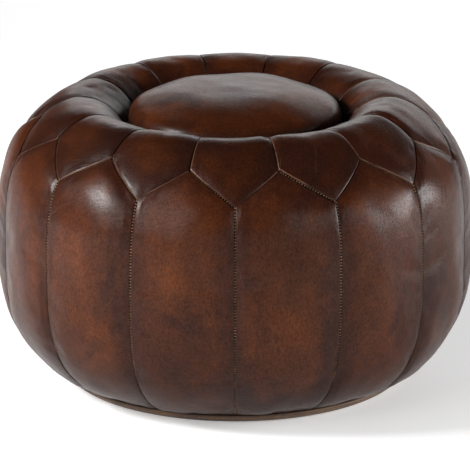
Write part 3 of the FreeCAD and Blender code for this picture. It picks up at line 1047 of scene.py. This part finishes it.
def material(name):
    made = bpy.data.materials.new(name)
    made.use_nodes = True
    tree = made.node_tree
    shader = tree.nodes["Principled BSDF"]
    return made, tree, shader


def node(tree, kind, **settings):
    """A new node, with some of its inputs or settings given by name."""
    made = tree.nodes.new(kind)
    for key, value in settings.items():
        if key in made.inputs:
            made.inputs[key].default_value = value
        else:
            setattr(made, key, value)
    return made


def mixed(tree, share, first, second, blend="MIX"):
    """Mixes two colours, each a socket or a plain colour, by a share."""
    made = tree.nodes.new("ShaderNodeMix")
    made.data_type = "RGBA"
    made.blend_type = blend
    for index, value in ((0, share), (6, first), (7, second)):
        if isinstance(value, bpy.types.NodeSocket):
            tree.links.new(value, made.inputs[index])
        elif isinstance(value, (int, float)):
            made.inputs[index].default_value = value
        else:
            made.inputs[index].default_value = (*value, 1)
    return made.outputs[2]


def sums(tree, operation, first, second, third=None, clamp=False):
    """Arithmetic on values, each a socket or a plain number."""
    made = tree.nodes.new("ShaderNodeMath")
    made.operation = operation
    made.use_clamp = clamp
    for index, value in enumerate((first, second, third)):
        if value is None:
            continue
        if isinstance(value, bpy.types.NodeSocket):
            tree.links.new(value, made.inputs[index])
        else:
            made.inputs[index].default_value = value
    return made.outputs[0]


def ranged(tree, value, low, high, out_low=0.0, out_high=1.0, kind="SMOOTHSTEP"):
    """Turns a value's range into another one, and stops at its ends."""
    made = tree.nodes.new("ShaderNodeMapRange")
    made.interpolation_type = kind
    tree.links.new(value, made.inputs["Value"])
    ends = {"From Min": low, "From Max": high, "To Min": out_low, "To Max": out_high}
    for name, number in ends.items():
        made.inputs[name].default_value = number
    return made.outputs["Result"]


def noise(tree, coordinates, scale, detail=4.0, roughness=0.55, distortion=0.0):
    made = tree.nodes.new("ShaderNodeTexNoise")
    tree.links.new(coordinates, made.inputs["Vector"])
    made.inputs["Scale"].default_value = scale
    made.inputs["Detail"].default_value = detail
    made.inputs["Roughness"].default_value = roughness
    made.inputs["Distortion"].default_value = distortion
    return made.outputs["Fac"]


def group(name, inputs, outputs):
    """An empty node group with named inputs, float or vector, and named float outputs."""
    tree = bpy.data.node_groups.new(name, "ShaderNodeTree")
    for label, kind in inputs.items():
        tree.interface.new_socket(label, in_out="INPUT", socket_type="NodeSocket" + kind)
    for label in outputs:
        tree.interface.new_socket(label, in_out="OUTPUT", socket_type="NodeSocketFloat")
    return tree, tree.nodes.new("NodeGroupInput").outputs, tree.nodes.new("NodeGroupOutput").inputs


def bumped(tree, height, strength, distance, before=None):
    """A normal that is raised by a height, on top of another normal if one is given."""
    bump = node(tree, "ShaderNodeBump", Strength=strength, Distance=distance)
    tree.links.new(height, bump.inputs["Height"])
    if before is not None:
        tree.links.new(before, bump.inputs["Normal"])
    return bump.outputs["Normal"]


def leather_grain_group():
    """Pebble grain with fine pores, and the soft creases between the pebbles, as a height."""
    tree, given, out = group(
        "leather_grain",
        {"Place": "Vector", "Pebbles": "Float"},
        ("Height",),
    )
    cells = tree.nodes.new("ShaderNodeTexVoronoi")
    cells.feature = "DISTANCE_TO_EDGE"
    tree.links.new(given["Place"], cells.inputs["Vector"])
    tree.links.new(given["Pebbles"], cells.inputs["Scale"])
    pebble = ranged(tree, cells.outputs["Distance"], 0.0, 0.32)
    coarse = noise(tree, given["Place"], 210.0, 5.0, 0.6)
    pores = noise(tree, given["Place"], 1500.0, 2.0, 0.5)
    height = sums(tree, "MULTIPLY_ADD", coarse, 0.9, pebble)
    height = sums(tree, "MULTIPLY_ADD", pores, 0.25, height)
    tree.links.new(height, out["Height"])
    return tree


def patina_group():
    """How dye and handling colour the leather: warm glows, dark clouds, brush marks and scratches."""
    tree, given, out = group(
        "patina",
        {"Place": "Vector", "Lay": "Vector"},
        ("Warm", "Dark", "Brushed", "Scratch"),
    )
    tall = node(tree, "ShaderNodeMapping", Scale=(1.25, 1.25, 0.7))
    tree.links.new(given["Place"], tall.inputs["Vector"])
    warm = ranged(tree, noise(tree, tall.outputs["Vector"], 9.5, 4.0, 0.55, 0.3), 0.38, 0.74)
    fleck = ranged(tree, noise(tree, given["Place"], 34.0, 5.0, 0.62, 0.3), 0.35, 0.70, -0.22, 0.28)
    tree.links.new(sums(tree, "ADD", fleck, warm, clamp=True), out["Warm"])
    elsewhere = node(tree, "ShaderNodeMapping", Location=(3.1, 1.7, 0.9), Scale=(1.25, 1.25, 0.7))
    tree.links.new(given["Place"], elsewhere.inputs["Vector"])
    dark = noise(tree, elsewhere.outputs["Vector"], 9.5, 5.0, 0.6, 0.5)
    tree.links.new(ranged(tree, dark, 0.47, 0.66), out["Dark"])
    stretched = node(tree, "ShaderNodeMapping", Scale=(520.0, 130.0, 1.0))
    tree.links.new(given["Lay"], stretched.inputs["Vector"])
    brushed = noise(tree, stretched.outputs["Vector"], 1.0, 5.0, 0.6, 0.4)
    mottle = noise(tree, given["Place"], 330.0, 4.0, 0.7)
    mottled = sums(tree, "MULTIPLY", mottle, 0.60)
    mottled = sums(tree, "ADD", sums(tree, "MULTIPLY", brushed, 0.40), mottled)
    tree.links.new(ranged(tree, mottled, 0.36, 0.64, 0.0, 1.0, "LINEAR"), out["Brushed"])
    slanted = node(tree, "ShaderNodeMapping", Rotation=(0.0, 0.0, 0.7), Scale=(420.0, 9.0, 1.0))
    tree.links.new(given["Lay"], slanted.inputs["Vector"])
    lines = ranged(tree, noise(tree, slanted.outputs["Vector"], 1.0, 2.0, 0.4, 0.2), 0.74, 0.79)
    tree.links.new(lines, out["Scratch"])
    return tree


def seam_wear_group():
    """From the distance to the nearest seam: painted shade in the seam's crease, a painted highlight on the
    lit rolled edge beside it, and a wider painted shade that fades away from the seam.
    """
    tree, given, out = group(
        "seam_wear",
        {"Place": "Vector", "Distance": "Float", "Rubbing": "Float"},
        ("Dirt", "Rubbed", "Shade"),
    )
    ragged = noise(tree, given["Place"], 45.0, 4.0, 0.6)
    # Painted shade in the seam's crease, near black, narrower where the edge has a painted highlight.
    crease_shade_reach = sums(tree, "MULTIPLY_ADD", given["Rubbing"], 1.6 * MM, given["Distance"])
    tree.links.new(ranged(tree, crease_shade_reach, 0.8 * MM, 2.4 * MM, 1.0, 0.0), out["Dirt"])
    # A painted highlight on the lit rolled edge, pale in places along the seam.
    near = ranged(tree, given["Distance"], 0.3 * MM, 0.8 * MM)
    far = ranged(tree, given["Distance"], 1.2 * MM, 2.2 * MM, 1.0, 0.0)
    in_places = ranged(tree, noise(tree, given["Place"], 14.0, 3.0, 0.6), 0.42, 0.60, 0.05, 1.0)
    strip = sums(tree, "MULTIPLY", sums(tree, "MULTIPLY", near, far), given["Rubbing"])
    tree.links.new(sums(tree, "MULTIPLY", strip, in_places), out["Rubbed"])
    wide = sums(tree, "MULTIPLY_ADD", ragged, -36 * MM, given["Distance"])
    tree.links.new(ranged(tree, wide, -14 * MM, 16 * MM, 1.0, 0.0), out["Shade"])
    return tree


leather_grain = leather_grain_group()
patina = patina_group()
seam_wear = seam_wear_group()


def use_group(tree, made, **links):
    """Places a node group in a material, with its inputs linked or set by name."""
    placed = tree.nodes.new("ShaderNodeGroup")
    placed.node_tree = made
    for name, value in links.items():
        if isinstance(value, bpy.types.NodeSocket):
            tree.links.new(value, placed.inputs[name])
        else:
            placed.inputs[name].default_value = value
    return placed.outputs


DARK_HIDE, WARM_HIDE = (0.019, 0.0056, 0.0026), (0.062, 0.0158, 0.0052)
GOLDEN_BROWN = (0.100, 0.0250, 0.0052)
SMOKY_BROWN, SEAM_SHADE = (0.017, 0.0055, 0.0040), (0.016, 0.0052, 0.0038)
# Painted shade: the brown for the bottom and the near black for the seams' creases.
FOOT_SHADE, SEAM_CREASE_SHADE = (0.014, 0.0050, 0.0038), (0.006, 0.003, 0.0025)
# Painted highlight: the pale tan on the lit rolled edges; the second tan is for scratches.
EDGE_HIGHLIGHT_TAN, SCRATCHED_TAN = (0.22, 0.105, 0.060), (0.20, 0.11, 0.07)
BRUSHED_DARK, BRUSHED_LIGHT = (0.62, 0.61, 0.60), (1.42, 1.40, 1.38)


def attribute(tree, name, output="Fac"):
    return node(tree, "ShaderNodeAttribute", attribute_name=name).outputs[output]


def cover_leather():
    made, tree, shader = material("cover_leather")
    place = tree.nodes.new("ShaderNodeTexCoord").outputs["Object"]
    lay = attribute(tree, "lay", "Vector")
    distance = attribute(tree, "seam_distance")
    tone = attribute(tree, "hide_tone")
    rubbing = attribute(tree, "rubbing")
    marks = use_group(tree, patina, Place=place, Lay=lay)
    seam_light = use_group(tree, seam_wear, Place=place, Distance=distance, Rubbing=rubbing)
    grain = use_group(tree, leather_grain, Place=place, Pebbles=360.0)
    # The hide's warmth mixes painted light and painted shade with the hide's own random level.
    hide = mixed(tree, tone, DARK_HIDE, WARM_HIDE)
    warmth = ranged(tree, tone, 0.0, 1.0, 0.12, 0.90, "LINEAR")
    colour = mixed(tree, sums(tree, "MULTIPLY", marks["Warm"], warmth), hide, GOLDEN_BROWN)
    colour = mixed(tree, sums(tree, "MULTIPLY", marks["Dark"], 0.70), colour, SMOKY_BROWN)
    colour = mixed(tree, sums(tree, "MULTIPLY", seam_light["Shade"], 0.55), colour, SEAM_SHADE)
    shades = mixed(tree, marks["Brushed"], BRUSHED_DARK, BRUSHED_LIGHT)
    colour = mixed(tree, 1.0, colour, shades, "MULTIPLY")
    height = node(tree, "ShaderNodeSeparateXYZ")
    tree.links.new(place, height.inputs["Vector"])
    # Painted shade: darker towards the bottom.
    foot = ranged(tree, height.outputs["Z"], 0.01, 0.17, 0.65, 0.0)
    colour = mixed(tree, foot, colour, FOOT_SHADE)
    # Painted highlight: pale tan on the lit rolled edges.
    colour = mixed(tree, sums(tree, "MULTIPLY", seam_light["Rubbed"], 0.55), colour, EDGE_HIGHLIGHT_TAN)
    colour = mixed(tree, sums(tree, "MULTIPLY", marks["Scratch"], 0.30), colour, SCRATCHED_TAN)
    # Painted shade: near black in the seams' creases.
    colour = mixed(tree, seam_light["Dirt"], colour, SEAM_CREASE_SHADE)
    tree.links.new(colour, shader.inputs["Base Color"])
    rough = ranged(tree, noise(tree, place, 38.0, 5.0, 0.6), 0.3, 0.7, -0.035, 0.035, "LINEAR")
    rough = sums(tree, "ADD", rough, ranged(tree, marks["Brushed"], 0.0, 1.0, 0.37, 0.29, "LINEAR"))
    tree.links.new(rough, shader.inputs["Roughness"])
    grained = bumped(tree, grain["Height"], 0.30, 0.0006)
    brushed = bumped(tree, marks["Brushed"], 0.25, 0.0004, grained)
    tree.links.new(brushed, shader.inputs["Normal"])
    wax = ranged(tree, marks["Brushed"], 0.0, 1.0, 0.08, 0.30, "LINEAR")
    tree.links.new(wax, shader.inputs["Coat Weight"])
    shader.inputs["Coat Roughness"].default_value = 0.26
    shader.inputs["Specular IOR Level"].default_value = 0.045
    return made


def base_leather():
    made, tree, shader = material("base_leather")
    place = tree.nodes.new("ShaderNodeTexCoord").outputs["Object"]
    marks = use_group(tree, patina, Place=place, Lay=place)
    grain = use_group(tree, leather_grain, Place=place, Pebbles=520.0)
    colour = mixed(tree, marks["Warm"], (0.070, 0.036, 0.019), (0.115, 0.060, 0.030))
    colour = mixed(tree, sums(tree, "MULTIPLY", marks["Dark"], 0.5), colour, (0.034, 0.017, 0.010))
    tree.links.new(colour, shader.inputs["Base Color"])
    shader.inputs["Roughness"].default_value = 0.58
    tree.links.new(bumped(tree, grain["Height"], 0.3, 0.0005), shader.inputs["Normal"])
    return made


def sewing_thread():
    made, tree, shader = material("sewing_thread")
    place = tree.nodes.new("ShaderNodeTexCoord").outputs["Object"]
    worn = ranged(tree, noise(tree, place, 70.0, 4.0, 0.6), 0.40, 0.66)
    colour = mixed(tree, worn, (0.30, 0.150, 0.060), (0.13, 0.055, 0.024))
    tree.links.new(colour, shader.inputs["Base Color"])
    shader.inputs["Roughness"].default_value = 0.6
    fuzz = noise(tree, place, 2600.0, 2.0)
    tree.links.new(bumped(tree, fuzz, 0.5, 0.0002), shader.inputs["Normal"])
    return made


def aged_brass():
    made, tree, shader = material("aged_brass")
    place = tree.nodes.new("ShaderNodeTexCoord").outputs["Object"]
    tarnish = ranged(tree, noise(tree, place, 320.0, 5.0, 0.6), 0.42, 0.68)
    colour = mixed(tree, tarnish, (0.62, 0.44, 0.20), (0.24, 0.15, 0.07))
    tree.links.new(colour, shader.inputs["Base Color"])
    shader.inputs["Metallic"].default_value = 1.0
    tree.links.new(ranged(tree, tarnish, 0.0, 1.0, 0.28, 0.50, "LINEAR"), shader.inputs["Roughness"])
    return made


def woven(name, colour, shade, pitch_mm):
    """Plain weave: over and under threads, a little uneven in colour."""
    made, tree, shader = material(name)
    place = tree.nodes.new("ShaderNodeTexCoord").outputs["Object"]
    waves = []
    for direction in ("X", "Y"):
        wave = node(tree, "ShaderNodeTexWave", bands_direction=direction)
        wave.inputs["Scale"].default_value = 1000 / pitch_mm / 2 / math.pi
        wave.inputs["Distortion"].default_value = 0.4
        tree.links.new(place, wave.inputs["Vector"])
        waves.append(wave.outputs["Fac"])
    weave = sums(tree, "MULTIPLY", waves[0], waves[1])
    tree.links.new(mixed(tree, weave, shade, colour), shader.inputs["Base Color"])
    shader.inputs["Roughness"].default_value = 0.85
    tree.links.new(bumped(tree, weave, 0.4, 0.0003), shader.inputs["Normal"])
    return made


cover_finish = cover_leather()
base_finish = base_leather()
thread_finish = sewing_thread()
brass_finish = aged_brass()
tape_finish = woven("zip_tape_weave", (0.055, 0.030, 0.018), (0.020, 0.012, 0.008), 0.7)
fibre_finish = woven("loose_fibre", (0.62, 0.56, 0.46), (0.50, 0.45, 0.36), 3.0)
cotton_finish = woven("cotton_weave", (0.72, 0.66, 0.54), (0.52, 0.46, 0.35), 0.9)


def dress(piece, finish):
    piece.data.materials.clear()
    piece.data.materials.append(finish)


def finish_piece(piece, finish, slot, *nodes):
    """Gives a new piece its finish and its body, and hides the nodes that it stands for."""
    dress(piece, finish)
    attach(piece, BODY)
    if nodes:
        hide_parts(*nodes)


for panel in panels:
    made = panel_pieces[panel.name]
    finish_piece(made, cover_finish, "cover_leather", panel.node)
finish_piece(centre_disc, cover_finish, "cover_leather", "centre_disc")
for seam, node_name in (
    (side_seam, "side_seam_thread"),
    (petal_seam, "petal_seam_thread"),
    (slanted_seam, "slanted_seam_thread"),
    (rim_seam, "base_rim_thread"),
    (groove_seam, "groove_seam_thread"),
    (zip_seam, "zip_thread"),
):
    finish_piece(seam, thread_finish, "thread", node_name)
finish_piece(teeth_front, brass_finish, "zip_metal", "zip_coil_front")
finish_piece(teeth_back, brass_finish, "zip_metal", "zip_coil_back")
for half, node_name in ((base_front, "base_half_front"), (base_back, "base_half_back")):
    finish_piece(half, base_finish, "base_leather", node_name)
for piece, node_name in (
    (bag_top, "inner_bag_top"),
    (bag_side, "inner_bag_side"),
    (bag_base, "inner_bag_base"),
):
    finish_piece(piece, cotton_finish, "cotton_bag", node_name)
finish_piece(stuffing, fibre_finish, "stuffing", "stuffing")

for name in ("zip_tape_front", "zip_tape_back"):
    dress(bpy.data.objects[name], tape_finish)
for name in ("zip_closed_end_stop", "zip_open_end_stops", "zip_slider", "zip_pull"):
    dress(bpy.data.objects[name], brass_finish)

# ---------------------------------------------------------------- floor, light and camera


def pale_floor():
    bm = bmesh.new()
    bmesh.ops.create_grid(bm, x_segments=1, y_segments=1, size=14)
    piece = new_piece("floor", bm, smooth=False)
    made, tree, shader = material("pale_floor")
    shader.inputs["Base Color"].default_value = (0.92, 0.92, 0.92, 1)
    shader.inputs["Emission Color"].default_value = (1, 1, 1, 1)
    shader.inputs["Emission Strength"].default_value = 0.26
    shader.inputs["Roughness"].default_value = 0.9
    shader.inputs["Specular IOR Level"].default_value = 0.1
    dress(piece, made)


def soft_light(name, azimuth, elevation, size, power):
    """A soft box that faces the pouf from 3 m away; azimuth 0 is the front, and 90 is +X."""
    lamp = bpy.data.lights.new(name, "AREA")
    lamp.shape = "RECTANGLE"
    lamp.size, lamp.size_y = size
    lamp.energy = power
    turn, rise = math.radians(azimuth), math.radians(elevation)
    level = math.cos(rise)
    way = Vector((math.sin(turn) * level, -math.cos(turn) * level, math.sin(rise)))
    made = bpy.data.objects.new(name, lamp)
    made.location = Vector((0, 0, 0.2)) + 3.0 * way
    made.rotation_euler = way.to_track_quat("Z", "Y").to_euler()
    bpy.context.scene.collection.objects.link(made)


def camera():
    elevation = math.radians(17.5)
    distance = 7.0
    aim = Vector((0.0, 0.0, 0.190))
    lens = bpy.data.cameras.new("camera")
    lens.sensor_width = 36
    lens.lens = 36 * distance / 0.640
    made = bpy.data.objects.new("camera", lens)
    made.location = aim + Vector((0, -math.cos(elevation), math.sin(elevation))) * distance
    made.rotation_euler = (math.pi / 2 - elevation, 0, 0)
    bpy.context.scene.collection.objects.link(made)
    bpy.context.scene.camera = made


def surroundings():
    world = bpy.data.worlds.new("studio")
    bpy.context.scene.world = world
    world.use_nodes = True
    background = world.node_tree.nodes["Background"]
    background.inputs["Color"].default_value = (1, 1, 1, 1)
    background.inputs["Strength"].default_value = 0.02
    bpy.context.scene.view_settings.view_transform = "Standard"


pale_floor()
surroundings()
soft_light("front_left", -50, 21, (2.4, 1.6), 45)
soft_light("high_left", -75, 33, (0.8, 0.8), 100)
soft_light("right", 90, 9, (1.6, 0.8), 92)
soft_light("front_right", 45, 16, (1.8, 1.2), 18)
soft_light("low_front", 0, 6, (3.0, 0.6), 6)
soft_light("backdrop", 168, 15, (3.0, 1.0), 21)
camera()
